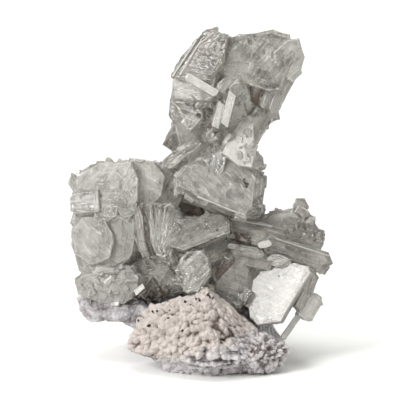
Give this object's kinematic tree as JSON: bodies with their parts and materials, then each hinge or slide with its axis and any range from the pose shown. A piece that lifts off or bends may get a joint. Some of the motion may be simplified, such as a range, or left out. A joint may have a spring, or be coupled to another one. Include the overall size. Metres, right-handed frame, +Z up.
{
  "type": "barite crystal cluster on dolomite matrix",
  "caption": "Cabinet mineral specimen: tower of clear tabular barite crystals grown together over a druse of pale dolomite rhombs, resting on a flat underside.",
  "frame": {"origin": "middle of the specimen's box seen from above, on the flat cut underside", "axes": "+Z up along the crystal tower, -Y towards the specimen's show side with the dolomite nodule, +X to the right of someone who looks at that side"},
  "size_m": [0.0892, 0.0622, 0.1126],
  "materials": {
    "barite": "clear vitreous barite, slightly grey, with milky veils",
    "dolomite": "matt to pearly cream and pinkish dolomite rhombs on pale grey rock"
  },
  "bodies": {
    "root": {"barite_cluster": "barite", "matrix": "dolomite"}
  },
  "joints": []
}
